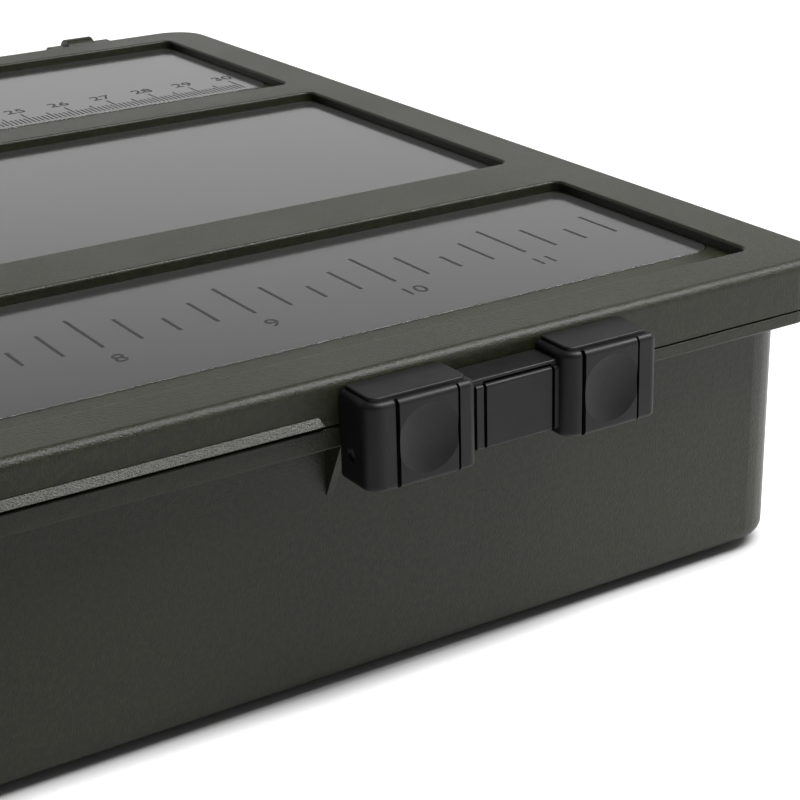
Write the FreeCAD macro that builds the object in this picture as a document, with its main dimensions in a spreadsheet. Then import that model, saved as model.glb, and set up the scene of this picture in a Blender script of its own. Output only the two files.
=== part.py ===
"""A shallow tackle box: a ribbed tub with a windowed lid, two rocker latches, and removable dividers.

Frame: millimetres, +X to the right along the front, +Y towards the hinges, +Z up.
The origin is the centre of the foot ring, on the surface that the box stands on.
"""
import FreeCAD, Part
import math
import os
import re
import Sketcher

V = FreeCAD.Vector
NEAR = 0.01
CUT_TOLERANCE = 0.01

SIZES = {
    # the whole box, closed
    "lid_width": 334.6, "lid_depth": 228.0, "box_height": 51.5,
    # the lid's shell
    "lid_height": 8.0, "lid_corner_radius": 9.0, "lid_edge_radius": 1.6, "skirt_wall": 2.2,
    "lid_plate": 2.4, "lid_top_wall": 2.0, "rib_wall": 2.0,
    # the three recesses in the lid's top, and the bars between them
    "frame_band": 10.0, "end_band": 10.8, "recess_depth": 1.9, "recess_corner_radius": 2.0,
    "recess_edge_radius": 0.5, "front_recess": 51.4, "front_bar": 15.4, "rear_bar": 9.6,
    "rear_recess": 58.5,
    # the clear panes and their seats
    "pane_thickness": 1.6, "pane_proud": 0.1, "pane_gap": 0.1, "pane_ledge": 3.0,
    "pane_corner_radius": 4.0, "pane_margin": 7.8, "pane_bevel": 0.15, "window_corner_step": 2.0,
    # the finger lip between the latches, and the tub's raised rim below it
    "lip_reach": 1.2, "lip_height": 1.1, "lip_rise": 0.6, "lip_end_gap": 2.1, "lip_end_radius": 1.15,
    "lip_slope": 1.05, "rim_rise": 1.2, "rim_wall": 2.0, "rim_edge_radius": 0.35, "rim_root": 0.8,
    "rim_step": 12.9, "rim_end_gap": 0.5,
    # the tub
    "parting_gap": 0.3, "flange_thickness": 2.1, "flange_edge_radius": 0.4, "wall_inset": 5.0,
    "wall_lean": 0.35, "wall_thickness": 2.0, "floor_thickness": 2.0, "tub_corner_radius": 8.0,
    "tub_edge_radius": 2.5, "floor_round": 1.2, "lid_clearance": 0.5,
    "foot_height": 1.4, "foot_inset": 4.5, "foot_width": 5.0, "foot_corner_radius": 5.0,
    # the latches: two side blocks with dished thumb pads, and a plain plate between them
    "latch_from_end": 69.4, "latch_width": 50.0, "latch_left_block": 17.75, "latch_right_block": 16.6,
    "latch_drop": 1.15, "latch_height": 13.75, "latch_gap": 0.4, "latch_round": 0.95,
    "block_left_round": 2.6, "block_right_round": 1.3, "block_foot_round": 0.8,
    "latch_wall": 2.0, "latch_front_wall": 2.45, "latch_roof": 2.2, "centre_wall": 2.4,
    "cap_height": 0.55, "cap_inset": 1.0, "cap_corner": 1.3, "cap_round": 0.25,
    "centre_drop": 1.85, "centre_lift": 1.25, "centre_round": 0.3, "pad_proud": 0.25, "pad_round": 0.9,
    "plate_proud": 0.6, "plate_drop": 0.85, "plate_round": 0.5, "plate_start": 1.3,
    "groove_width": 0.55, "groove_depth": 0.7, "top_groove_width": 0.4,
    "left_groove_one": 4.5, "left_groove_two": 14.6, "right_groove_one": 2.9, "right_groove_two": 12.9,
    "plate_groove_one": 2.75, "plate_groove_two": 14.7, "dish_radius": 14.5, "dish_depth": 0.95,
    # the latch's pivot: a pin through two lugs of the tub, with gussets under the flange behind it
    "latch_pin_radius": 0.9, "latch_pin_out": 3.2, "pin_clearance": 0.05, "latch_pin_inset": 0.45,
    "latch_lug_width": 4.0, "latch_lug_radius": 2.0, "latch_lug_gap": 0.6,
    "gusset_width": 1.2, "gusset_height": 9.3, "gusset_inset": 0.5, "gusset_root": 1.0,
    "catch_width": 9.0, "catch_height": 2.6, "catch_depth": 0.8, "catch_rise": 1.3,
    # the two hinges at the back
    "hinge_from_end": 28.3, "hinge_drop": 2.9, "hinge_pin_radius": 0.9,
    "knuckle_width": 6.5, "knuckle_radius": 3.4, "knuckle_gap": 0.5, "knuckle_root": 1.0,
    "ear_width": 4.0, "ear_radius": 2.2, "ear_gap": 0.4, "ear_root": 1.0, "web_drop": 4.0,
    # partitions under the bars, dividers across the rows, and the slots that hold them
    "partition_thickness": 1.6, "divider_thickness": 1.4, "slot_gap": 0.3,
    "slot_rib_width": 1.4, "slot_rib_height": 1.8, "slot_rib_root": 0.6, "slot_rib_drop": 2.0,
    "corner_relief": 2.0, "insert_drop": 0.5,
}

FRONT_ROW_DIVIDERS = 3
MIDDLE_ROW_DIVIDERS = 2
REAR_ROW_DIVIDERS = 3

# Heights
LID_BOTTOM = "(box_height - lid_height)"
FLANGE_TOP = f"({LID_BOTTOM} - parting_gap)"
FLANGE_BOTTOM = f"({FLANGE_TOP} - flange_thickness)"
RIM_TOP = f"({FLANGE_TOP} + rim_rise)"
NOTCH_TOP = f"({LID_BOTTOM} + rim_rise)"
RECESS_FLOOR = "(box_height - recess_depth)"
LID_UNDERSIDE = f"({RECESS_FLOOR} - lid_plate)"
PANE_SEAT = f"({RECESS_FLOOR} + pane_proud - pane_thickness)"
WALL_TOP = f"({LID_UNDERSIDE} - lid_clearance)"
FLOOR_TOP = "(foot_height + floor_thickness)"
INSERT_TOP = f"({WALL_TOP} - insert_drop)"
LATCH_TOP = "(box_height - latch_drop)"
LATCH_BOTTOM = f"({LATCH_TOP} - latch_height)"
BLOCK_TOP = f"({LATCH_TOP} - cap_height)"
LATCH_PIN_Z = FLANGE_BOTTOM
HINGE_Z = "(box_height - hinge_drop)"

# Half sizes in plan
LID_X = "(lid_width / 2)"
LID_Y = "(lid_depth / 2)"
WALL_X = f"({LID_X} - wall_inset)"
WALL_Y = f"({LID_Y} - wall_inset)"
INNER_X = f"({WALL_X} - wall_lean - wall_thickness)"
INNER_Y = f"({WALL_Y} - wall_lean - wall_thickness)"
RECESS_X = f"({LID_X} - end_band)"

# Places along Y, from the front
FRONT_RECESS = ("(-lid_depth / 2 + frame_band)", "(-lid_depth / 2 + frame_band + front_recess)")
REAR_RECESS = ("(lid_depth / 2 - frame_band - rear_recess)", "(lid_depth / 2 - frame_band)")
MIDDLE_RECESS = (f"({FRONT_RECESS[1]} + front_bar)", f"({REAR_RECESS[0]} - rear_bar)")
RECESSES = {"front": FRONT_RECESS, "middle": MIDDLE_RECESS, "rear": REAR_RECESS}
PANE_STARTS = {
    "front": f"({FRONT_RECESS[0]} + pane_margin)",
    "middle": MIDDLE_RECESS[0],
    "rear": f"({REAR_RECESS[0]} + pane_margin)",
}
FRONT_PARTITION_Y = f"({FRONT_RECESS[1]} + front_bar / 2)"
REAR_PARTITION_Y = f"({REAR_RECESS[0]} - rear_bar / 2)"
LATCH_PIN_Y = f"(-{LID_Y} - latch_pin_out)"
LATCH_BACK_Y = f"(-{LID_Y} - latch_gap)"
LATCH_FRONT_Y = f"({LATCH_PIN_Y} - latch_lug_radius - latch_lug_gap - latch_front_wall)"
PAD_FRONT_Y = f"({LATCH_FRONT_Y} - pad_proud)"
CENTRE_FRONT_Y = f"({LATCH_PIN_Y} - centre_wall)"
HINGE_Y = f"({LID_Y} + knuckle_gap + knuckle_radius)"

# Places along X
LATCH_X = f"({LID_X} - latch_from_end)"
HINGE_X = f"({LID_X} - hinge_from_end)"
LIP_X = f"({LATCH_X} - latch_width / 2 - lip_end_gap)"
RIM_X = f"({LATCH_X} - rim_step)"

# Across a latch, from its middle: the ends, and the inner ends of its two side blocks
LATCH_LEFT, LATCH_RIGHT = "(-latch_width / 2)", "(latch_width / 2)"
BLOCK_LEFT = f"({LATCH_LEFT} + latch_left_block)"
BLOCK_RIGHT = f"({LATCH_RIGHT} - latch_right_block)"
LUG_PLACES = [f"({LATCH_X} + ({LATCH_LEFT} + {BLOCK_LEFT}) / 2)",
              f"({LATCH_X} + ({LATCH_RIGHT} + {BLOCK_RIGHT}) / 2)"]

document = FreeCAD.newDocument("tackle_box")
sheet = document.addObject("Spreadsheet::Sheet", "Sizes")
for row, (alias, value) in enumerate(SIZES.items(), start=1):
    sheet.set(f"A{row}", str(value))
    sheet.setAlias(f"A{row}", alias)
document.recompute()


def formula(text):
    """Return the text with every size's name pointed at its cell."""
    def cell(match):
        return f"Sizes.{match.group()}" if match.group() in SIZES else match.group()
    return re.sub(r"[a-z_]+", cell, text)


def bind(feature, **properties):
    """Bind each named property, with __ for a dot, to a formula of the sheet's sizes."""
    for name, text in properties.items():
        feature.setExpression(name.replace("__", "."), formula(text))


def new_body(label):
    body = document.addObject("PartDesign::Body", label)
    body.Label = label
    return body


def origin_plane(body, role):
    return [feature for feature in body.Origin.OriginFeatures if feature.Role == role][0]


def new_sketch(body, name, plane, offset):
    """Make a sketch on one of the body's origin planes, moved along the plane's normal."""
    sketch = body.newObject("Sketcher::SketchObject", name)
    sketch.AttachmentSupport = (origin_plane(body, plane), [""])
    sketch.MapMode = "FlatFace"
    bind(sketch, AttachmentOffset__Base__z=offset)
    return sketch


def hold(sketch, geometry, point, across, up):
    """Hold a point of a line or arc (1 start, 2 end, 3 centre) at an (across, up) pair."""
    here = sketch.getPoint(geometry, point)
    for kind, start, text in (("DistanceX", here.x, across), ("DistanceY", here.y, up)):
        number = sketch.addConstraint(Sketcher.Constraint(kind, geometry, point, start))
        sketch.setExpression(f"Constraints[{number}]", formula(text))


def draw_outline(sketch, corners):
    """Draw a closed outline of straight lines, each corner an (across, up) pair of formulas."""
    first = sketch.GeometryCount
    count = len(corners)
    turn = FreeCAD.Rotation(V(0, 0, 1), 360 / count)
    points = [V(-1, -1, 0)]
    for _ in corners[1:]:
        points.append(turn.multVec(points[-1]))
    for index, start in enumerate(points):
        sketch.addGeometry(Part.LineSegment(start, points[(index + 1) % count]), False)
    for index, (across, up) in enumerate(corners):
        following = first + (index + 1) % count
        sketch.addConstraint(Sketcher.Constraint("Coincident", first + index, 2, following, 1))
        hold(sketch, first + index, 1, across, up)


def draw_box(sketch, left, right, low, high):
    draw_outline(sketch, [(left, low), (right, low), (right, high), (left, high)])


def draw_circle(sketch, across, up, radius):
    circle = sketch.addGeometry(Part.Circle(V(0, 0, 0), V(0, 0, 1), 1.0), False)
    hold(sketch, circle, 3, across, up)
    number = sketch.addConstraint(Sketcher.Constraint("Radius", circle, 1.0))
    sketch.setExpression(f"Constraints[{number}]", formula(radius))


def draw_rounded_box(sketch, left, right, low, high, radius):
    """Draw a rectangle with round corners, from arcs that already bend the right way."""
    first = sketch.GeometryCount
    inner_left, inner_right = f"({left} + {radius})", f"({right} - {radius})"
    inner_low, inner_high = f"({low} + {radius})", f"({high} - {radius})"
    half, bend = 10.0, 2.0
    inner = half - bend
    sides = [
        ((-inner, -half), (inner, -half), (inner, -inner), -90, (inner_left, low), (inner_right, low)),
        ((half, -inner), (half, inner), (inner, inner), 0, (right, inner_low), (right, inner_high)),
        ((inner, half), (-inner, half), (-inner, inner), 90, (inner_right, high), (inner_left, high)),
        ((-half, inner), (-half, -inner), (-inner, -inner), 180, (left, inner_high), (left, inner_low)),
    ]
    for start, end, middle, angle, _, _ in sides:
        sketch.addGeometry(Part.LineSegment(V(*start, 0), V(*end, 0)), False)
        circle = Part.Circle(V(*middle, 0), V(0, 0, 1), bend)
        arc = Part.ArcOfCircle(circle, math.radians(angle), math.radians(angle + 90))
        sketch.addGeometry(arc, False)
    for side, (_, _, _, _, start, end) in enumerate(sides):
        line, arc = first + 2 * side, first + 2 * side + 1
        following = first + (2 * side + 2) % 8
        sketch.addConstraint(Sketcher.Constraint("Coincident", line, 2, arc, 1))
        sketch.addConstraint(Sketcher.Constraint("Tangent", arc, 2, following, 1))
        hold(sketch, line, 1, *start)
        hold(sketch, line, 2, *end)


def pad(body, sketch, length, **properties):
    feature = body.newObject("PartDesign::Pad", f"{sketch.Name}_pad")
    feature.Profile = sketch
    bind(feature, Length=length, **properties)
    document.recompute()
    return feature


def pocket(body, sketch, length):
    """Cut a sketch into the body, on whichever side of its plane the solid lies."""
    before = body.Shape.Volume
    feature = body.newObject("PartDesign::Pocket", f"{sketch.Name}_pocket")
    feature.Profile = sketch
    bind(feature, Length=length)
    document.recompute()
    if body.Shape.Volume > before - CUT_TOLERANCE:
        feature.Reversed = True
        document.recompute()
    if body.Shape.Volume > before - CUT_TOLERANCE:
        raise RuntimeError(f"{sketch.Name} cuts nothing")
    return feature


def plan(body, name, boxes, level):
    """Sketch rectangles (left, right, low, high[, corner radius]) of the plan at a level."""
    sketch = new_sketch(body, name, "XY_Plane", level)
    for box in boxes:
        if len(box) == 5:
            draw_rounded_box(sketch, *box)
        else:
            draw_box(sketch, *box)
    return sketch


def dress_edges(body, name, kind, size, test):
    """Fillet or chamfer the tip's edges that pass the test, which reads an edge's box."""
    tip = body.Tip
    names = [
        f"Edge{index}" for index, edge in enumerate(tip.Shape.Edges, start=1) if test(edge.BoundBox)
    ]
    feature = body.newObject(f"PartDesign::{kind}", name)
    feature.Base = (tip, names)
    feature.setExpression("Radius" if kind == "Fillet" else "Size", formula(size))
    document.recompute()


def round_edges(body, name, radius, test):
    dress_edges(body, name, "Fillet", radius, test)


def on_rim(feature, side):
    """A test for the level edges at the top (ZMax) or bottom (ZMin) of a feature's own shape."""
    region = feature.AddSubShape.BoundBox
    height = getattr(region, side)
    region.enlarge(NEAR)

    def test(box):
        level = box.ZLength < NEAR and abs(box.ZMin - height) < NEAR
        return level and region.isInside(box.Center)
    return test


def lugs(body, name, place, width, web, eye, hole_radius):
    """Pad a web and a round eye across X, bore the eye, and return the features."""
    start = f"({place} - {width} / 2)"
    features = []
    web_sketch = new_sketch(body, f"{name}_web", "YZ_Plane", start)
    draw_outline(web_sketch, web)
    features.append(pad(body, web_sketch, width))
    eye_sketch = new_sketch(body, f"{name}_eye", "YZ_Plane", start)
    draw_circle(eye_sketch, *eye)
    features.append(pad(body, eye_sketch, width))
    bore = new_sketch(body, f"{name}_bore", "YZ_Plane", f"({place} + {width} / 2)")
    draw_circle(bore, eye[0], eye[1], hole_radius)
    features.append(pocket(body, bore, width))
    return features


def mirror(body, name, features):
    """Repeat the features on the other side of the box."""
    mirrored = body.newObject("PartDesign::Mirrored", name)
    mirrored.Originals = features
    mirrored.MirrorPlane = (origin_plane(body, "YZ_Plane"), [""])
    body.Tip = mirrored
    document.recompute()


def repeat(body, name, features, distance):
    """Repeat the features once, a distance to the left."""
    pattern = body.newObject("PartDesign::LinearPattern", name)
    pattern.Originals = features
    pattern.Direction = (origin_plane(body, "X_Axis"), [""])
    pattern.Reversed = True
    pattern.Occurrences = 2
    bind(pattern, Length=distance)
    body.Tip = pattern
    document.recompute()


def row_places(count):
    """The places along X of a row's dividers, which share the tub's inner width equally."""
    return [f"({INNER_X} * (2 * {step} / {count + 1} - 1))" for step in range(1, count + 1)]


def slot_sides(place, thickness):
    """The two ribs beside a slot, each as its near and far side along the slot's axis."""
    edge = f"({thickness} / 2 + slot_gap)"
    outer = f"({edge} + slot_rib_width)"
    return [(f"({place} - {outer})", f"({place} - {edge})"),
            (f"({place} + {edge})", f"({place} + {outer})")]


def divider_slots(places, low, high):
    """The rectangles of the rib pairs that hold a row of dividers, between two places along Y."""
    return [(left, right, low, high) for place in places
            for left, right in slot_sides(place, "divider_thickness")]


def build_tub():
    """The moulded tub: wall, floor, flange, foot ring, slots, latch lugs and hinge knuckles."""
    body = new_body("tub")

    # the flange has the lid's outline, and the drafted wall runs down from it
    outline = (f"-{LID_X}", LID_X, f"-{LID_Y}", LID_Y, "lid_corner_radius")
    flange = pad(body, plan(body, "flange", [outline], FLANGE_BOTTOM), "flange_thickness")
    round_edges(body, "flange_top", "flange_edge_radius", on_rim(flange, "ZMax"))
    round_edges(body, "flange_underside", "flange_edge_radius", on_rim(flange, "ZMin"))
    bottom_x, bottom_y = f"({WALL_X} - wall_lean)", f"({WALL_Y} - wall_lean)"
    outline = (f"-{bottom_x}", bottom_x, f"-{bottom_y}", bottom_y, "tub_corner_radius")
    lean = f"atan(wall_lean / ({FLANGE_BOTTOM} - foot_height))"
    wall = pad(body, plan(body, "wall", [outline], "foot_height"), f"{WALL_TOP} - foot_height",
               TaperAngle=lean)
    round_edges(body, "wall_bottom", "tub_edge_radius", on_rim(wall, "ZMin"))

    # the hollow, open at the top
    outline = (f"-{INNER_X}", INNER_X, f"-{INNER_Y}", INNER_Y, "(tub_corner_radius - wall_thickness)")
    hollow = pocket(body, plan(body, "hollow", [outline], WALL_TOP), f"{WALL_TOP} - {FLOOR_TOP}")
    round_edges(body, "hollow_floor", "floor_round", on_rim(hollow, "ZMin"))

    # the foot ring
    outer_x, outer_y = f"({bottom_x} - foot_inset)", f"({bottom_y} - foot_inset)"
    ring_x, ring_y = f"({outer_x} - foot_width)", f"({outer_y} - foot_width)"
    rings = [(f"-{outer_x}", outer_x, f"-{outer_y}", outer_y, "(foot_corner_radius + foot_width)"),
             (f"-{ring_x}", ring_x, f"-{ring_y}", ring_y, "foot_corner_radius")]
    pad(body, plan(body, "foot_ring", rings, "0"), "foot_height")

    # the rim steps up between the latches, where the lid's skirt is cut away
    rim = (f"-{RIM_X}", RIM_X, f"-{LID_Y}", f"(-{LID_Y} + rim_wall)")
    step = pad(body, plan(body, "raised_rim", [rim], f"({FLANGE_TOP} - rim_root)"), "rim_rise + rim_root")
    round_edges(body, "rim_top", "rim_edge_radius", on_rim(step, "ZMax"))

    # slots for the partitions in the end walls, and for the dividers in the long walls
    tip, root = f"({INNER_X} - slot_rib_height)", f"({INNER_X} + slot_rib_root)"
    ribs = []
    for place in (FRONT_PARTITION_Y, REAR_PARTITION_Y):
        for low, high in slot_sides(place, "partition_thickness"):
            ribs.append((tip, root, low, high))
            ribs.append((f"-{root}", f"-{tip}", low, high))
    tip, root = f"({INNER_Y} - slot_rib_height)", f"({INNER_Y} + slot_rib_root)"
    ribs += divider_slots(row_places(FRONT_ROW_DIVIDERS), f"-{root}", f"-{tip}")
    ribs += divider_slots(row_places(REAR_ROW_DIVIDERS), tip, root)
    pad(body, plan(body, "slot_ribs", ribs, f"({FLOOR_TOP} - slot_rib_root)"),
        f"{WALL_TOP} - slot_rib_drop - {FLOOR_TOP} + slot_rib_root")

    # what carries a latch: two lugs for its pin, and two gussets behind its ends
    features = []
    neck_y = f"(-{LID_Y} + rim_wall)"
    neck = [(LATCH_PIN_Y, f"({LATCH_PIN_Z} - latch_lug_radius)"), (neck_y, FLANGE_BOTTOM),
            (neck_y, FLANGE_TOP), (LATCH_PIN_Y, f"({LATCH_PIN_Z} + latch_lug_radius)")]
    eye = (LATCH_PIN_Y, LATCH_PIN_Z, "latch_lug_radius")
    for number, place in enumerate(LUG_PLACES, start=1):
        features += lugs(body, f"latch_lug_{number}", place, "latch_lug_width", neck, eye,
                         "latch_pin_radius + pin_clearance")
    root_y = f"(-{WALL_Y} + gusset_root)"
    for number, sign in ((1, "-"), (2, "+")):
        middle = f"({LATCH_X} {sign} (latch_width / 2 - gusset_inset - gusset_width / 2))"
        gusset = new_sketch(body, f"gusset_{number}", "YZ_Plane", f"({middle} - gusset_width / 2)")
        foot_z = f"({FLANGE_BOTTOM} - gusset_height)"
        draw_outline(gusset, [(f"(-{LID_Y} + flange_edge_radius)", FLANGE_BOTTOM), (f"-{WALL_Y}", foot_z),
                              (root_y, foot_z), (root_y, f"({FLANGE_BOTTOM} + gusset_root)"),
                              (f"(-{LID_Y} + flange_edge_radius)", f"({FLANGE_BOTTOM} + gusset_root)")])
        features.append(pad(body, gusset, "gusset_width"))
    repeat(body, "other_latch", features, f"2 * {LATCH_X}")

    # what carries the lid: a knuckle on a web that runs down into the rear wall
    near, far = f"({HINGE_Y} - knuckle_radius)", f"({HINGE_Y} + knuckle_radius)"
    root_y = f"({WALL_Y} - knuckle_root)"
    web = [(root_y, f"({FLANGE_BOTTOM} - web_drop)"), (LID_Y, f"({FLANGE_BOTTOM} - web_drop / 2)"),
           (far, FLANGE_TOP), (far, HINGE_Z), (near, HINGE_Z), (near, FLANGE_TOP),
           (root_y, FLANGE_TOP)]
    knuckle = lugs(body, "knuckle", HINGE_X, "knuckle_width", web,
                   (HINGE_Y, HINGE_Z, "knuckle_radius"), "hinge_pin_radius + pin_clearance")
    mirror(body, "other_knuckle", knuckle)
    return body


def build_lid():
    """The moulded lid: skirt, top with three recesses and pane seats, catches, hinge ears."""
    body = new_body("lid_frame")
    outline = (f"-{LID_X}", LID_X, f"-{LID_Y}", LID_Y, "lid_corner_radius")
    shell = pad(body, plan(body, "shell", [outline], LID_BOTTOM), "lid_height")
    round_edges(body, "top_edge", "lid_edge_radius", on_rim(shell, "ZMax"))

    # the three recesses, each with a stepped seat and a hole below its pane
    recesses = [(f"-{RECESS_X}", RECESS_X, low, high, "recess_corner_radius")
                for low, high in RECESSES.values()]
    cut = pocket(body, plan(body, "recesses", recesses, "box_height"), "recess_depth")
    round_edges(body, "recess_edges", "recess_edge_radius", on_rim(cut, "ZMax"))
    seats = [(f"-{RECESS_X}", RECESS_X, PANE_STARTS[name], RECESSES[name][1], "pane_corner_radius")
             for name in RECESSES]
    pocket(body, plan(body, "pane_seats", seats, RECESS_FLOOR), f"{RECESS_FLOOR} - {PANE_SEAT}")
    windows = [(f"({left} + pane_ledge)", f"({right} - pane_ledge)", f"({low} + pane_ledge)",
                f"({high} - pane_ledge)", "pane_corner_radius - window_corner_step")
               for left, right, low, high, _ in seats]
    pocket(body, plan(body, "windows", windows, PANE_SEAT), f"{PANE_SEAT} - {LID_UNDERSIDE} + 1")

    # the hollow underside: one shallow pocket, then deeper ones under the band and the bars
    inner_x, inner_y = f"({LID_X} - skirt_wall)", f"({LID_Y} - skirt_wall)"
    inside = (f"-{inner_x}", inner_x, f"-{inner_y}", inner_y, "(lid_corner_radius - skirt_wall)")
    pocket(body, plan(body, "underside", [inside], LID_BOTTOM), f"{LID_UNDERSIDE} - {LID_BOTTOM}")
    panel = (f"-({RECESS_X} + rib_wall)", f"({RECESS_X} + rib_wall)",
             f"({FRONT_RECESS[0]} - rib_wall)", f"({REAR_RECESS[1]} + rib_wall)",
             "recess_corner_radius")
    bars = [(f"-{RECESS_X}", RECESS_X, f"({near} + rib_wall)", f"({far} - rib_wall)")
            for near, far in ((FRONT_RECESS[1], MIDDLE_RECESS[0]), (MIDDLE_RECESS[1], REAR_RECESS[0]))]
    pocket(body, plan(body, "band_groove", [inside, panel], LID_UNDERSIDE),
           f"box_height - lid_top_wall - {LID_UNDERSIDE}")
    pocket(body, plan(body, "bar_grooves", bars, LID_UNDERSIDE),
           f"box_height - lid_top_wall - {LID_UNDERSIDE}")

    # the skirt is cut shorter between the latches
    notch_x = f"({RIM_X} + rim_end_gap)"
    notch = (f"-{notch_x}", notch_x, f"(-{LID_Y} - 1)", f"-{inner_y}")
    pocket(body, plan(body, "skirt_notch", [notch], LID_BOTTOM), "rim_rise")

    # the catches that the latches' hooks stand over
    catches = new_sketch(body, "catches", "XZ_Plane", f"{LID_Y}")
    top = f"({LATCH_TOP} - latch_roof + catch_rise)"
    for place in LUG_PLACES:
        draw_box(catches, f"({place} - catch_width / 2)", f"({place} + catch_width / 2)",
                 f"({top} - catch_height)", top)
    cut = pocket(body, catches, "catch_depth")
    repeat(body, "other_catches", [cut], f"2 * {LATCH_X}")

    # the ears that turn on the hinge pins, on both sides of each knuckle
    near = f"({LID_Y} - ear_root)"
    web = [(near, f"({HINGE_Z} - ear_radius)"), (HINGE_Y, f"({HINGE_Z} - ear_radius)"),
           (HINGE_Y, f"({HINGE_Z} + ear_radius)"), (near, f"({HINGE_Z} + ear_radius)")]
    features = []
    for number, sign in ((1, "-"), (2, "+")):
        middle = f"({HINGE_X} {sign} (knuckle_width / 2 + ear_gap + ear_width / 2))"
        features += lugs(body, f"hinge_ear_{number}", middle, "ear_width", web,
                         (HINGE_Y, HINGE_Z, "ear_radius"), "hinge_pin_radius + pin_clearance")
    mirror(body, "other_ears", features)
    return body


def build_lip():
    """The finger lip along the skirt's lower edge, between the latches."""
    body = new_body("finger_lip")
    bar = (f"-{LIP_X}", LIP_X, f"(-{LID_Y} - lip_reach)", f"-{LID_Y}")
    pad(body, plan(body, "bar", [bar], f"({NOTCH_TOP} + lip_rise)"), "lip_height")
    whole = body.Shape.BoundBox
    round_edges(body, "ends", "lip_end_radius", lambda box: abs(box.YMax - whole.YMin) < NEAR
                and abs(box.ZLength - whole.ZLength) < NEAR)
    dress_edges(body, "slope", "Chamfer", "lip_slope",
                lambda box: box.ZMin > whole.ZMax - NEAR and box.YMin < whole.YMax - NEAR)
    return body


def build_pane(name):
    """A clear pane that fills its seat, with a fine bevel round its top."""
    body = new_body(f"window_{name}")
    low, high = PANE_STARTS[name], RECESSES[name][1]
    outline = (f"(-{RECESS_X} + pane_gap)", f"({RECESS_X} - pane_gap)", f"({low} + pane_gap)",
               f"({high} - pane_gap)", "pane_corner_radius")
    plate = pad(body, plan(body, "pane", [outline], PANE_SEAT), "pane_thickness")
    round_edges(body, "bevel", "pane_bevel", on_rim(plate, "ZMax"))
    return body


def front_panel(body, name, left, right, low, high, front, depth, radius):
    """Pad a panel that stands out of a latch's front, and round its upper and lower edges."""
    sketch = new_sketch(body, name, "XZ_Plane", f"(-1 * {front})")
    draw_box(sketch, left, right, low, high)
    panel = pad(body, sketch, depth)
    panel.Reversed = True
    document.recompute()
    region = panel.AddSubShape.BoundBox
    round_edges(body, f"{name}_edges", radius,
                lambda box: box.YMax < region.YMin + NEAR and box.ZLength < NEAR
                and box.XMin > region.XMin - NEAR and box.XMax < region.XMax + NEAR)


def side_block(body, name, left, right):
    """Pad a side block of a latch with rounded front edges, and a low cap on top of it."""
    block = plan(body, name, [(left, right, LATCH_FRONT_Y, LATCH_BACK_Y)], LATCH_BOTTOM)
    region = pad(body, block, "latch_height - cap_height").AddSubShape.BoundBox
    near = FreeCAD.BoundBox(region)
    near.enlarge(NEAR)

    def upright(box):
        return box.XLength < NEAR and box.YMax < region.YMin + NEAR and near.isInside(box.Center)

    def rim(box):
        return box.ZLength < NEAR and box.YMin < region.YMax - NEAR and near.isInside(box.Center)
    rounds = [("XMin", "block_left_round", upright), ("XMax", "block_right_round", upright),
              ("ZMax", "latch_round", rim), ("ZMin", "block_foot_round", rim)]
    for side, radius, test in rounds:
        round_edges(body, f"{name}_{side}", radius,
                    lambda box: test(box) and abs(getattr(box, side) - getattr(region, side)) < NEAR)
    cap = (f"({left} + cap_inset)", f"({right} - cap_inset)", f"({LATCH_FRONT_Y} + cap_inset)",
           f"({LATCH_BACK_Y} + cap_corner)", "cap_corner")
    top = pad(body, plan(body, f"{name}_cap", [cap], BLOCK_TOP), "cap_height")
    round_edges(body, f"{name}_cap_edge", "cap_round", on_rim(top, "ZMax"))


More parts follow.
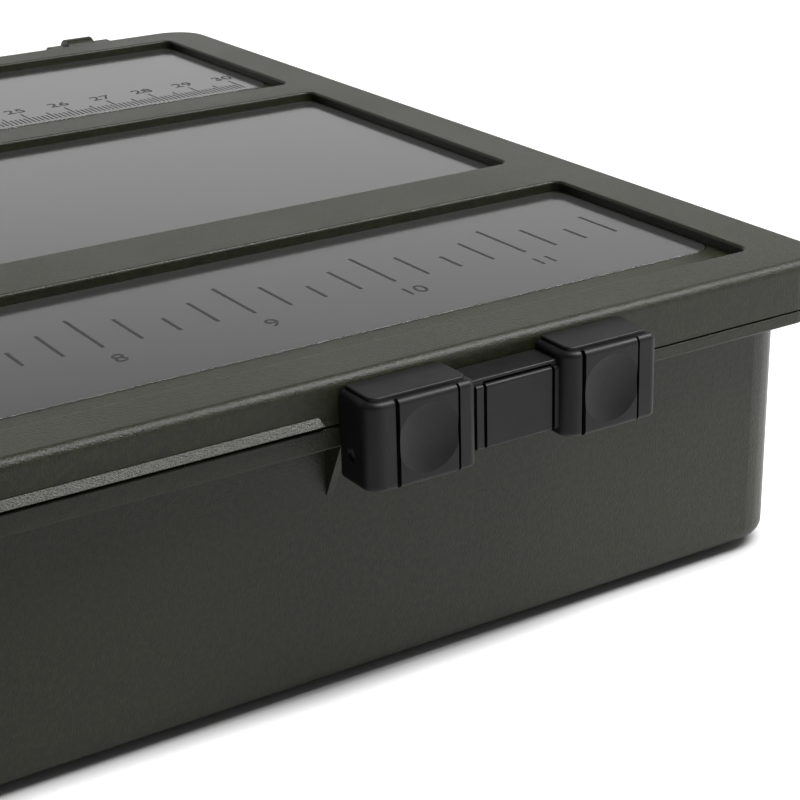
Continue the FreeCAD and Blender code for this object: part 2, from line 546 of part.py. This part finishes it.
def build_latch(label, side):
    """A rocker latch of three blocks; side is + for the right-hand one, - for the left."""
    body = new_body(label)
    blocks = [(LATCH_LEFT, BLOCK_LEFT), (BLOCK_RIGHT, LATCH_RIGHT)]
    for number, (low, high) in enumerate(blocks, start=1):
        side_block(body, f"side_block_{number}", low, high)
    behind = (LATCH_LEFT, LATCH_RIGHT, LATCH_BACK_Y, f"({LATCH_BACK_Y} + 2 * cap_corner)")
    pocket(body, plan(body, "caps_back", [behind], LATCH_TOP), "cap_height")
    centre_bottom, centre_top = f"({LATCH_BOTTOM} + centre_lift)", f"({LATCH_TOP} - centre_drop)"
    centre = (f"({BLOCK_LEFT} - block_right_round)", f"({BLOCK_RIGHT} + block_right_round)",
              CENTRE_FRONT_Y, LATCH_BACK_Y)
    pad(body, plan(body, "centre_block", [centre], centre_bottom),
        f"{centre_top} - {centre_bottom}")
    region = body.Tip.AddSubShape.BoundBox
    round_edges(body, "centre_top", "centre_round",
                lambda box: abs(box.ZMin - region.ZMax) < NEAR and abs(box.YMax - region.YMin) < NEAR)

    # a thumb pad on each side block, between two grooves
    pads = [f"({LATCH_LEFT} + left_groove_one)", f"({LATCH_LEFT} + left_groove_two)",
            f"({BLOCK_RIGHT} + right_groove_one)", f"({BLOCK_RIGHT} + right_groove_two)"]
    for number in (0, 2):
        front_panel(body, f"thumb_pad_{number}", pads[number], pads[number + 1], LATCH_BOTTOM,
                    BLOCK_TOP, PAD_FRONT_Y, "pad_proud + latch_front_wall / 2", "pad_round")
    half = "groove_width / 2"
    cuts = [(f"({place} - {half})", f"({place} + {half})", f"({PAD_FRONT_Y} - 1)",
             f"({LATCH_FRONT_Y} + groove_depth)") for place in pads]
    pocket(body, plan(body, "pad_grooves", cuts, LATCH_TOP), "latch_height")

    # the plain plate between the side blocks, with its own grooves
    front_panel(body, "plate", f"({BLOCK_LEFT} + plate_start)", f"({BLOCK_RIGHT} + block_right_round)",
                centre_bottom, f"({centre_top} - plate_drop)", f"({CENTRE_FRONT_Y} - plate_proud)",
                "plate_proud + groove_depth", "plate_round")
    plate = [f"({BLOCK_LEFT} + plate_groove_one)", f"({BLOCK_LEFT} + plate_groove_two)"]
    cuts = [(f"({place} - {half})", f"({place} + {half})", f"({CENTRE_FRONT_Y} - plate_proud - 1)",
             f"({CENTRE_FRONT_Y} + groove_depth)") for place in plate]
    pocket(body, plan(body, "plate_grooves", cuts, f"({centre_top} - plate_drop)"), "latch_height")
    line = new_sketch(body, "plate_top_groove", "XZ_Plane", f"(-1 * {CENTRE_FRONT_Y})")
    draw_box(line, plate[0], plate[1], f"({centre_top} - plate_drop)",
             f"({centre_top} - plate_drop + top_groove_width)")
    pocket(body, line, "groove_depth")

    # a shallow round dish in each thumb pad
    for number in (0, 2):
        dish = body.newObject("PartDesign::SubtractiveSphere", f"thumb_dish_{number}")
        middle = f"(({pads[number]} + {pads[number + 1]}) / 2)"
        bind(dish, Radius="dish_radius", Placement__Base__x=middle,
             Placement__Base__y=f"{PAD_FRONT_Y} - dish_radius + dish_depth",
             Placement__Base__z=f"({LATCH_BOTTOM} + {BLOCK_TOP}) / 2")
        document.recompute()

    # each side block is hollow behind, and open below, where a lug of the tub reaches in
    rooms = [(f"({low} + latch_wall)", f"({high} - latch_wall)",
              f"({LATCH_FRONT_Y} + latch_front_wall)", f"({LATCH_BACK_Y} + 1)")
             for low, high in blocks]
    pocket(body, plan(body, "rooms", rooms, f"({LATCH_TOP} - latch_roof)"),
           "latch_height - latch_roof")
    bore = new_sketch(body, "pin_bore", "YZ_Plane", LATCH_RIGHT)
    draw_circle(bore, LATCH_PIN_Y, LATCH_PIN_Z, "latch_pin_radius + pin_clearance")
    pocket(body, bore, "latch_width")
    bind(body, Placement__Base__x=f"{side}1 * {LATCH_X}")
    return body


def build_pin(label, radius, length, middle_x, place_y, place_z):
    """A plain steel pin along X."""
    pin = document.addObject("Part::Cylinder", label)
    pin.Label = label
    pin.Placement = FreeCAD.Placement(V(0, 0, 0), FreeCAD.Rotation(V(0, 1, 0), 90))
    bind(pin, Radius=radius, Height=length, Placement__Base__x=f"{middle_x} - ({length}) / 2",
         Placement__Base__y=place_y, Placement__Base__z=place_z)
    return pin


def relieve_corners(body, axis):
    """Chamfer the two lower corners of a plate, clear of the round where wall meets floor."""
    whole = body.Shape.BoundBox
    ends = [getattr(whole, f"{axis}{side}") for side in ("Min", "Max")]

    def test(box):
        middle = getattr(box.Center, axis.lower())
        at_end = min(abs(middle - end) for end in ends) < NEAR
        return at_end and abs(box.ZMax - whole.ZMin) < NEAR
    dress_edges(body, "corner_relief", "Chamfer", "corner_relief", test)


def build_partition(label, place, front_dividers, rear_dividers):
    """A long wall of the tub, with slots for the dividers of the rows on its two sides."""
    body = new_body(label)
    end = f"({INNER_X} - slot_gap)"
    face, back = f"({place} - partition_thickness / 2)", f"({place} + partition_thickness / 2)"
    height = f"{INSERT_TOP} - {FLOOR_TOP}"
    pad(body, plan(body, "plate", [(f"-{end}", end, face, back)], FLOOR_TOP), height)
    relieve_corners(body, "X")
    ribs = divider_slots(row_places(front_dividers), f"({face} - slot_rib_height)", place)
    pad(body, plan(body, "front_ribs", ribs, FLOOR_TOP), f"{height} - slot_rib_drop")
    ribs = divider_slots(row_places(rear_dividers), place, f"({back} + slot_rib_height)")
    pad(body, plan(body, "rear_ribs", ribs, FLOOR_TOP), f"{height} - slot_rib_drop")
    return body


def build_divider(label, place, low, high, corners):
    """A short wall across a row, from low to high along Y, relieved where it meets the tub."""
    body = new_body(label)
    outline = (f"({place} - divider_thickness / 2)", f"({place} + divider_thickness / 2)",
               f"({low} + slot_gap)", f"({high} - slot_gap)")
    pad(body, plan(body, "plate", [outline], FLOOR_TOP), f"{INSERT_TOP} - {FLOOR_TOP}")
    if corners:
        relieve_corners(body, "Y")
    return body


parts = [build_tub(), build_lid(), build_lip()]
parts += [build_pane(name) for name in RECESSES]
for name, side in (("left", "-"), ("right", "+")):
    parts.append(build_latch(f"latch_{name}", side))
    parts.append(build_pin(f"latch_pin_{name}", "latch_pin_radius",
                           "latch_width - 2 * latch_pin_inset", f"{side}1 * {LATCH_X}",
                           LATCH_PIN_Y, LATCH_PIN_Z))
    parts.append(build_pin(f"hinge_pin_{name}", "hinge_pin_radius",
                           "knuckle_width + 2 * ear_gap + 2 * ear_width",
                           f"{side}1 * {HINGE_X}", HINGE_Y, HINGE_Z))
parts.append(build_partition("partition_front", FRONT_PARTITION_Y, FRONT_ROW_DIVIDERS,
                             MIDDLE_ROW_DIVIDERS))
parts.append(build_partition("partition_rear", REAR_PARTITION_Y, MIDDLE_ROW_DIVIDERS,
                             REAR_ROW_DIVIDERS))
half_wall = "partition_thickness / 2"
rows = {
    "front": (FRONT_ROW_DIVIDERS, f"-{INNER_Y}", f"({FRONT_PARTITION_Y} - {half_wall})"),
    "middle": (MIDDLE_ROW_DIVIDERS, f"({FRONT_PARTITION_Y} + {half_wall})",
               f"({REAR_PARTITION_Y} - {half_wall})"),
    "rear": (REAR_ROW_DIVIDERS, f"({REAR_PARTITION_Y} + {half_wall})", INNER_Y),
}
for name, (count, low, high) in rows.items():
    for number, place in enumerate(row_places(count), start=1):
        parts.append(build_divider(f"divider_{name}_{number}", place, low, high, name != "middle"))

document.recompute()
for feature in document.Objects:
    if "Invalid" in feature.State or "Error" in feature.State:
        raise RuntimeError(f"{feature.Label} failed: {feature.State}")
for part in parts:
    if part.Shape.isNull() or not part.Shape.isValid() or len(part.Shape.Solids) != 1:
        raise RuntimeError(f"{part.Label} has no valid single solid")

os.makedirs("parts", exist_ok=True)
for part in parts:
    part.Shape.exportStep(f"parts/{part.Label}.step")
    print(f"{part.Label}: {part.Shape.Volume:.0f} cubic millimetres")
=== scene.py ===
"""A shallow tackle box, closed: olive tub and lid, three smoked windows with rulers, two rocker
latches.

Everything is in metres in the part's own frame: +X to the right along the front, +Y to the
hinges, +Z up.
"""
import bpy
import numpy as np
from mathutils import Matrix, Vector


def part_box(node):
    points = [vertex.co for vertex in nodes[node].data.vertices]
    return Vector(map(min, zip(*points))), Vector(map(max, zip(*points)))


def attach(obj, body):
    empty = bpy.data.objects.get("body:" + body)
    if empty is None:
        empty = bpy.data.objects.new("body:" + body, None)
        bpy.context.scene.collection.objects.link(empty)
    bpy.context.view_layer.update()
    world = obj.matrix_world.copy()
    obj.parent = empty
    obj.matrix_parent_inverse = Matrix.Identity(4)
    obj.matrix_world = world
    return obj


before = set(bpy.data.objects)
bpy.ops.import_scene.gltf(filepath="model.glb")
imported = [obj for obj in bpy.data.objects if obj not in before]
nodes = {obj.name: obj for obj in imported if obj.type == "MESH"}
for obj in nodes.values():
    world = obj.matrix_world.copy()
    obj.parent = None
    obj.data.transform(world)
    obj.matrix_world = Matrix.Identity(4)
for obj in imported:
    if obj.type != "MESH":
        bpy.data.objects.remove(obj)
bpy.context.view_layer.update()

# ---------------------------------------------------------------------------------------------
# The camera
# It stands low in front of the box, left of the right-hand latch, and looks along the lid
# towards the far right corner, so only the right half of the box is in view.

camera = bpy.data.objects.new("camera", bpy.data.cameras.new("camera"))
bpy.context.collection.objects.link(camera)
bpy.context.scene.camera = camera
camera.data.sensor_width = 36.0
camera.data.lens = 91.68
camera.data.clip_start = 0.01
to_right = np.array((0.8414, -0.5399, -0.0239))
looking = np.array((0.4938, 0.7861, -0.3718))
to_top = np.cross(to_right, looking)
place = (-0.0586, -0.3395, 0.1525)
camera.matrix_world = Matrix([
    (to_right[i], to_top[i], -looking[i], place[i]) for i in range(3)] + [(0, 0, 0, 1)])

# ---------------------------------------------------------------------------------------------
# The studio
# A white paper sweep that keeps the box's own shadow, with a painted contact shadow at the box's
# foot and a painted reflection that is brighter on the right. The room is dark in front and
# overhead, and white low down behind the box and to its right. A long strip box hangs over the lid,
# and a weak square lamp fills in from the right.


def linear(code):
    """An sRGB hex colour as linear RGBA: each channel c becomes ((c + 0.055) / 1.055) ** 2.4, or
    c / 12.92 where it is at most 0.04045."""
    values = [int(code[i:i + 2], 16) / 255 for i in (1, 3, 5)]
    return [v / 12.92 if v <= 0.04045 else ((v + 0.055) / 1.055) ** 2.4 for v in values] + [1.0]


def add(tree, kind, inputs=(), **settings):
    """Add a node; each input is given a value or another node's socket."""
    node = tree.nodes.new(f"ShaderNode{kind}")
    for name, value in settings.items():
        setattr(node, name, value)
    for name, value in dict(inputs).items():
        if isinstance(value, bpy.types.NodeSocket):
            tree.links.new(value, node.inputs[name])
        else:
            node.inputs[name].default_value = value
    return node


# The camera sees a white room; every other ray meets the dark one with its white wall.
world = bpy.data.worlds.new("studio_room")
bpy.context.scene.world = world
world.use_nodes = True
room = world.node_tree
to_the_white_wall = (0.55, 0.83, 0.0)
room.nodes.clear()
way = add(room, "TexCoord").outputs["Generated"]
up = add(room, "SeparateXYZ", {"Vector": way})
low = add(room, "MapRange", {"Value": up.outputs["Z"], "From Min": 0.25, "From Max": 0.50,
                             "To Min": 1.0, "To Max": 0.0}, interpolation_type="SMOOTHSTEP")
back = add(room, "VectorMath", {0: way, 1: to_the_white_wall}, operation="DOT_PRODUCT")
behind = add(room, "MapRange", {"Value": back.outputs["Value"], "From Min": -0.5,
                                "From Max": 0.45}, interpolation_type="SMOOTHSTEP")
white = add(room, "Math", {0: low.outputs[0], 1: behind.outputs[0]}, operation="MULTIPLY")
dark_room = 0.10
wall_light = add(room, "MapRange", {"Value": white.outputs[0], "To Min": dark_room, "To Max": 1.0})
seen = add(room, "LightPath")
straight = add(room, "Mix", {0: seen.outputs["Is Camera Ray"], 2: wall_light.outputs[0], 3: 1.0})
sky = add(room, "Background", {"Color": linear("#ffffff"), "Strength": straight.outputs[0]})
add(room, "OutputWorld", {"Surface": sky.outputs[0]})

# The camera, a face that mirrors the paper and a ray through a pane all see it glow white, fading
# to its plain grey where the box shuts out the light; this fade is a painted contact shadow, made
# with ambient occlusion. The glow seen in mirrored rays is painted dimmer towards -X, a painted
# reflection that lights the box's right side more than its left. Any other ray meets the plain
# grey.
paper = bpy.data.materials.new("white_paper_sweep")
paper.use_nodes = True
painted_dim_x, painted_bright_x = -0.05, 0.20  # along X, in metres
painted_shadow_reach = 0.008
tree = paper.node_tree
tree.nodes.clear()
seen = add(tree, "LightPath")
spot = add(tree, "SeparateXYZ", {"Vector": add(tree, "TexCoord").outputs["Object"]})
# Painted reflection: to mirrored rays the paper glows dimmer towards -X and full white towards +X,
# so the box's right side catches more reflected light than its left.
painted_reflection_gain = add(tree, "MapRange", {"Value": spot.outputs["X"], "From Min": painted_dim_x,
                                  "From Max": painted_bright_x, "To Min": 0.35, "To Max": 1.0},
               interpolation_type="SMOOTHSTEP")
painted_mirror_glow = add(tree, "Math", {0: seen.outputs["Is Glossy Ray"], 1: painted_reflection_gain.outputs[0]},
               operation="MULTIPLY")
straight = add(tree, "Math", {0: seen.outputs["Is Camera Ray"], 1: painted_mirror_glow.outputs[0]},
               operation="MAXIMUM")
through = add(tree, "Math", {0: straight.outputs[0], 1: seen.outputs["Is Transmission Ray"]},
              operation="MAXIMUM")
# Painted shadow: ambient occlusion cuts the glow where the box stands close, a painted contact
# shadow along its foot.
painted_shadow_ao = add(tree, "AmbientOcclusion", {"Distance": painted_shadow_reach}, samples=16)
painted_shadow_share = add(tree, "MapRange", {"Value": painted_shadow_ao.outputs["AO"], "From Min": 0.4,
                                    "From Max": 0.85, "To Min": 0.0, "To Max": 0.85})
share = add(tree, "Math", {0: through.outputs[0], 1: painted_shadow_share.outputs[0]}, operation="MULTIPLY")
matt = add(tree, "BsdfDiffuse", {"Color": linear("#acacac")})
glow = add(tree, "Emission", {"Color": linear("#ffffff"), "Strength": share.outputs[0]})
both = add(tree, "AddShader", {0: matt.outputs[0], 1: glow.outputs[0]})
add(tree, "OutputMaterial", {"Surface": both.outputs[0]})

away = 6.0
sweep = bpy.data.meshes.new("floor")
sweep.from_pydata([(-away, -away, 0), (away, -away, 0), (away, away, 0), (-away, away, 0)],
                  [], [(0, 1, 2, 3)])
floor = bpy.data.objects.new("floor", sweep)
bpy.context.collection.objects.link(floor)
sweep.materials.append(paper)

for name, size, power, where, aim in (
        ("strip_box_over_lid", (0.8, 0.4), 17.0, (0.50, -0.34, 0.90), (0.05, -0.05, 0.0)),
        ("fill_from_right", (0.5, 0.5), 1.0, (0.9, -0.55, 0.30), (0.1, 0.0, 0.02))):
    lamp = bpy.data.objects.new(name, bpy.data.lights.new(name, "AREA"))
    bpy.context.collection.objects.link(lamp)
    lamp.data.shape = "RECTANGLE"
    lamp.data.size, lamp.data.size_y = size
    lamp.data.energy = power
    towards = np.subtract(aim, where)
    towards = towards / np.linalg.norm(towards)
    side = np.cross(towards, (0.0, 1.0, 0.0))
    side = side / np.linalg.norm(side)
    over = np.cross(side, towards)
    lamp.matrix_world = Matrix([
        (side[i], over[i], -towards[i], where[i]) for i in range(3)] + [(0, 0, 0, 1)])

# ---------------------------------------------------------------------------------------------
# The tub
# Injection moulded in olive polypropylene. The mould is spark eroded, which leaves a fine satin
# grain on every face, faintly speckled and a little shinier in some patches than in others.

olive = bpy.data.materials.new("olive_polypropylene")
olive.use_nodes = True
tree = olive.node_tree
tree.nodes.clear()
where = add(tree, "TexCoord").outputs["Object"]
grain_mm, speckle_mm, cloud_mm = 0.3, 0.9, 30.0
grain = add(tree, "TexNoise", {"Vector": where, "Scale": 1000 / grain_mm, "Detail": 3.0,
                               "Roughness": 0.6})
speckle = add(tree, "TexNoise", {"Vector": where, "Scale": 1000 / speckle_mm, "Detail": 1.0})
cloud = add(tree, "TexNoise", {"Vector": where, "Scale": 1000 / cloud_mm, "Detail": 2.0})
mottle = add(tree, "MapRange", {"Value": speckle.outputs[0], "From Min": 0.35, "From Max": 0.65})
tint = add(tree, "Mix", {0: mottle.outputs[0], 6: linear("#1f2016"), 7: linear("#28291a")},
           data_type="RGBA")
shine = add(tree, "MapRange", {"Value": cloud.outputs[0], "From Min": 0.3, "From Max": 0.7,
                               "To Min": 0.34, "To Max": 0.40})
dents = add(tree, "Bump", {"Height": grain.outputs[0], "Strength": 0.9, "Distance": 0.00012})
skin = add(tree, "BsdfPrincipled", {"Base Color": tint.outputs[2], "Roughness": shine.outputs[0],
                                    "IOR": 1.49, "Specular IOR Level": 0.32,
                                    "Normal": dents.outputs[0]})
add(tree, "OutputMaterial", {"Surface": skin.outputs[0]})


def dress(node, material):
    """Give a CAD node one material all over."""
    nodes[node].data.materials.clear()
    nodes[node].data.materials.append(material)


dress("tub", olive)

# ---------------------------------------------------------------------------------------------
# The partitions and dividers
# Thin lift-out walls in the tub's slots, moulded in the same olive polypropylene.

for node in nodes:
    if node.startswith(("partition", "divider")):
        dress(node, olive)

# ---------------------------------------------------------------------------------------------
# The hinge and latch pins
# Short lengths of drawn steel wire, cropped at both ends, with fine drawing lines along them.

wire = bpy.data.materials.new("drawn_steel_wire")
wire.use_nodes = True
tree = wire.node_tree
tree.nodes.clear()
where = add(tree, "TexCoord").outputs["Object"]
lines_per_metre = (60.0, 6000.0, 6000.0)
along = add(tree, "Mapping", {"Vector": where, "Scale": lines_per_metre})
lines = add(tree, "TexNoise", {"Vector": along.outputs[0], "Scale": 1.0, "Detail": 2.0})
shine = add(tree, "MapRange", {"Value": lines.outputs[0], "From Min": 0.3, "From Max": 0.7,
                               "To Min": 0.22, "To Max": 0.38})
metal = add(tree, "BsdfPrincipled", {"Base Color": linear("#c4c4c2"), "Metallic": 1.0,
                                     "Roughness": shine.outputs[0]})
add(tree, "OutputMaterial", {"Surface": metal.outputs[0]})
for node in nodes:
    if "_pin_" in node:
        dress(node, wire)

# ---------------------------------------------------------------------------------------------
# The lid
# The same olive moulding as the tub, with two bars across it and a finger lip under its front.

dress("lid_frame", olive)
dress("finger_lip", olive)

# ---------------------------------------------------------------------------------------------
# The windows
# Sheets of smoked acrylic, cut with round corners and bonded in: glossy, faintly uneven where
# they were rolled, and dark enough that little of the inside shows.

smoke = bpy.data.materials.new("smoked_acrylic")
smoke.use_nodes = True
tree = smoke.node_tree
tree.nodes.clear()
where = add(tree, "TexCoord").outputs["Object"]
wave_mm, haze_mm = 45.0, 1.2
wave = add(tree, "TexNoise", {"Vector": where, "Scale": 1000 / wave_mm, "Detail": 1.0})
haze = add(tree, "TexNoise", {"Vector": where, "Scale": 1000 / haze_mm, "Detail": 2.0})
shine = add(tree, "MapRange", {"Value": haze.outputs[0], "From Min": 0.3, "From Max": 0.7,
                               "To Min": 0.10, "To Max": 0.14})
rolled = add(tree, "Bump", {"Height": wave.outputs[0], "Strength": 0.05, "Distance": 0.001})
acrylic = add(tree, "BsdfPrincipled", {"Base Color": linear("#4b4c4b"),
                                       "Roughness": shine.outputs[0],
                                       "IOR": 1.49, "Specular IOR Level": 0.33,
                                       "Transmission Weight": 0.6, "Normal": rolled.outputs[0]})
add(tree, "OutputMaterial", {"Surface": acrylic.outputs[0]})
for name in ("front", "middle", "rear"):
    dress(f"window_{name}", smoke)

# ---------------------------------------------------------------------------------------------
# The rulers
# Dark ticks and numbers printed on the front and rear windows: inches in quarters in front,
# centimetres in millimetres behind. Both start at the same place, near the left end.

ink = bpy.data.materials.new("dark_pad_print")
ink.use_nodes = True
tree = ink.node_tree
tree.nodes.clear()
where = add(tree, "TexCoord").outputs["Object"]
patch_mm = 0.4
patchy = add(tree, "TexNoise", {"Vector": where, "Scale": 1000 / patch_mm, "Detail": 1.0})
shade = add(tree, "Mix", {0: patchy.outputs[0], 6: linear("#262626"), 7: linear("#333333")},
            data_type="RGBA")
print_skin = add(tree, "BsdfPrincipled", {"Base Color": shade.outputs[2], "Roughness": 0.6,
                                          "IOR": 1.45, "Specular IOR Level": 0.35})
add(tree, "OutputMaterial", {"Surface": print_skin.outputs[0]})

mm = 0.001
zero_x = -149.2 * mm
window_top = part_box("window_front")[1][2]
mark_height = 0.03 * mm
share_of_size = 0.7


def bars(x, low, high, width):
    """Flat bars along Y: for each x, a box from low to high, width wide, on the window's top."""
    x, low, high = np.broadcast_arrays(np.asarray(x, float), low, high)
    left, right = x - width / 2, x + width / 2
    under, over = np.full_like(x, window_top), np.full_like(x, window_top + mark_height)
    corners = np.stack([np.stack(c, -1) for c in (
        (left, low, under), (right, low, under), (right, high, under), (left, high, under),
        (left, low, over), (right, low, over), (right, high, over), (left, high, over))], 1)
    faces = np.array([(3, 2, 1, 0), (4, 5, 6, 7), (0, 1, 5, 4), (1, 2, 6, 5), (2, 3, 7, 6),
                      (3, 0, 4, 7)])
    count = len(x)
    all_faces = (faces[None] + 8 * np.arange(count)[:, None, None]).reshape(-1, 4)
    return corners.reshape(-1, 3), all_faces


def printed(name, groups, material):
    """One mesh on the lid from groups of points and faces; a face's corner numbers go up by the
    number of points in the groups before its own."""
    counts = [len(points) for points, _ in groups]
    starts = np.cumsum([0] + counts[:-1])
    faces = [tuple(int(start + corner) for corner in face)
             for (_, faces), start in zip(groups, starts) for face in faces]
    mesh = bpy.data.meshes.new(name)
    mesh.from_pydata(np.concatenate([points for points, _ in groups]).tolist(), [], faces)
    piece = bpy.data.objects.new(name, mesh)
    bpy.context.collection.objects.link(piece)
    mesh.materials.append(material)
    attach(piece, "lid")


def numerals(values, places, middle_y, height):
    """Each value in the built-in typeface, centred on (place, middle_y), as (points, faces). The
    type's size is the height divided by the share of its size that a numeral stands high."""
    made = []
    for value, x in zip(values, places):
        words = bpy.data.curves.new(f"numeral_{value}", "FONT")
        words.body = str(value)
        words.size = height / share_of_size
        words.align_x, words.align_y = "CENTER", "CENTER"
        words.extrude = mark_height / 2
        words.resolution_u = 3
        lettering = bpy.data.objects.new(words.name, words)
        bpy.context.collection.objects.link(lettering)
        bpy.context.view_layer.update()
        mesh = bpy.data.meshes.new_from_object(lettering)
        points = np.empty(len(mesh.vertices) * 3)
        mesh.vertices.foreach_get("co", points)
        points = points.reshape(-1, 3) + (x, middle_y, window_top + mark_height / 2)
        made.append((points, [tuple(face.vertices) for face in mesh.polygons]))
        bpy.data.objects.remove(lettering)
        bpy.data.meshes.remove(mesh)
        bpy.data.curves.remove(words)
    return made


inch = 25.4 * mm
numeral_height = 3.3 * mm
inch_tick_width, inch_line_y, inch_numbers_y = 0.55 * mm, -79.0 * mm, -84.6 * mm
quarters = np.arange(0, 48)
long_tick, middle_tick, short_tick = 14.2 * mm, 10.4 * mm, 6.3 * mm
reach = np.array((long_tick, middle_tick, short_tick, middle_tick))[quarters % 4]
ticks = bars(zero_x + quarters * inch / 4, inch_line_y, inch_line_y + reach, inch_tick_width)
printed("inch_ticks", [ticks], ink)
inches = np.arange(1, 12)
printed("inch_numbers",
        numerals(inches, zero_x + inches * inch, inch_numbers_y, numeral_height), ink)

near_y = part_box("window_rear")[0][1]
mm_tick_width, mm_line_y, centimetre_numbers_y = 0.3 * mm, near_y + 1.5 * mm, near_y + 12.5 * mm
millimetres = np.arange(0, 301)
reach = np.where(millimetres % 10 == 0, 8.0, np.where(millimetres % 5 == 0, 6.0, 4.0)) * mm
ticks = bars(zero_x + millimetres * mm, mm_line_y, mm_line_y + reach, mm_tick_width)
printed("millimetre_ticks", [ticks], ink)
centimetres = np.arange(1, 31)
printed("centimetre_numbers",
        numerals(centimetres, zero_x + centimetres * 10 * mm, centimetre_numbers_y, numeral_height),
        ink)

# ---------------------------------------------------------------------------------------------
# The latches
# Rockers moulded in black nylon, with a shallower grain than the box has and fine clouds in its
# colour and its shine.

nylon = bpy.data.materials.new("black_nylon")
nylon.use_nodes = True
tree = nylon.node_tree
tree.nodes.clear()
where = add(tree, "TexCoord").outputs["Object"]
grain_mm, cloud_mm = 0.35, 6.0
grain = add(tree, "TexNoise", {"Vector": where, "Scale": 1000 / grain_mm, "Detail": 3.0,
                               "Roughness": 0.6})
cloud = add(tree, "TexNoise", {"Vector": where, "Scale": 1000 / cloud_mm, "Detail": 2.0})
tint = add(tree, "Mix", {0: cloud.outputs[0], 6: linear("#0e0e0f"), 7: linear("#131314")},
           data_type="RGBA")
shine = add(tree, "MapRange", {"Value": cloud.outputs[0], "From Min": 0.3, "From Max": 0.7,
                               "To Min": 0.42, "To Max": 0.52})
dents = add(tree, "Bump", {"Height": grain.outputs[0], "Strength": 0.6, "Distance": 0.00005})
skin = add(tree, "BsdfPrincipled", {"Base Color": tint.outputs[2], "Roughness": shine.outputs[0],
                                    "IOR": 1.53, "Specular IOR Level": 0.25,
                                    "Normal": dents.outputs[0]})
add(tree, "OutputMaterial", {"Surface": skin.outputs[0]})
dress("latch_left", nylon)
dress("latch_right", nylon)

bpy.context.scene.view_settings.view_transform = "Standard"
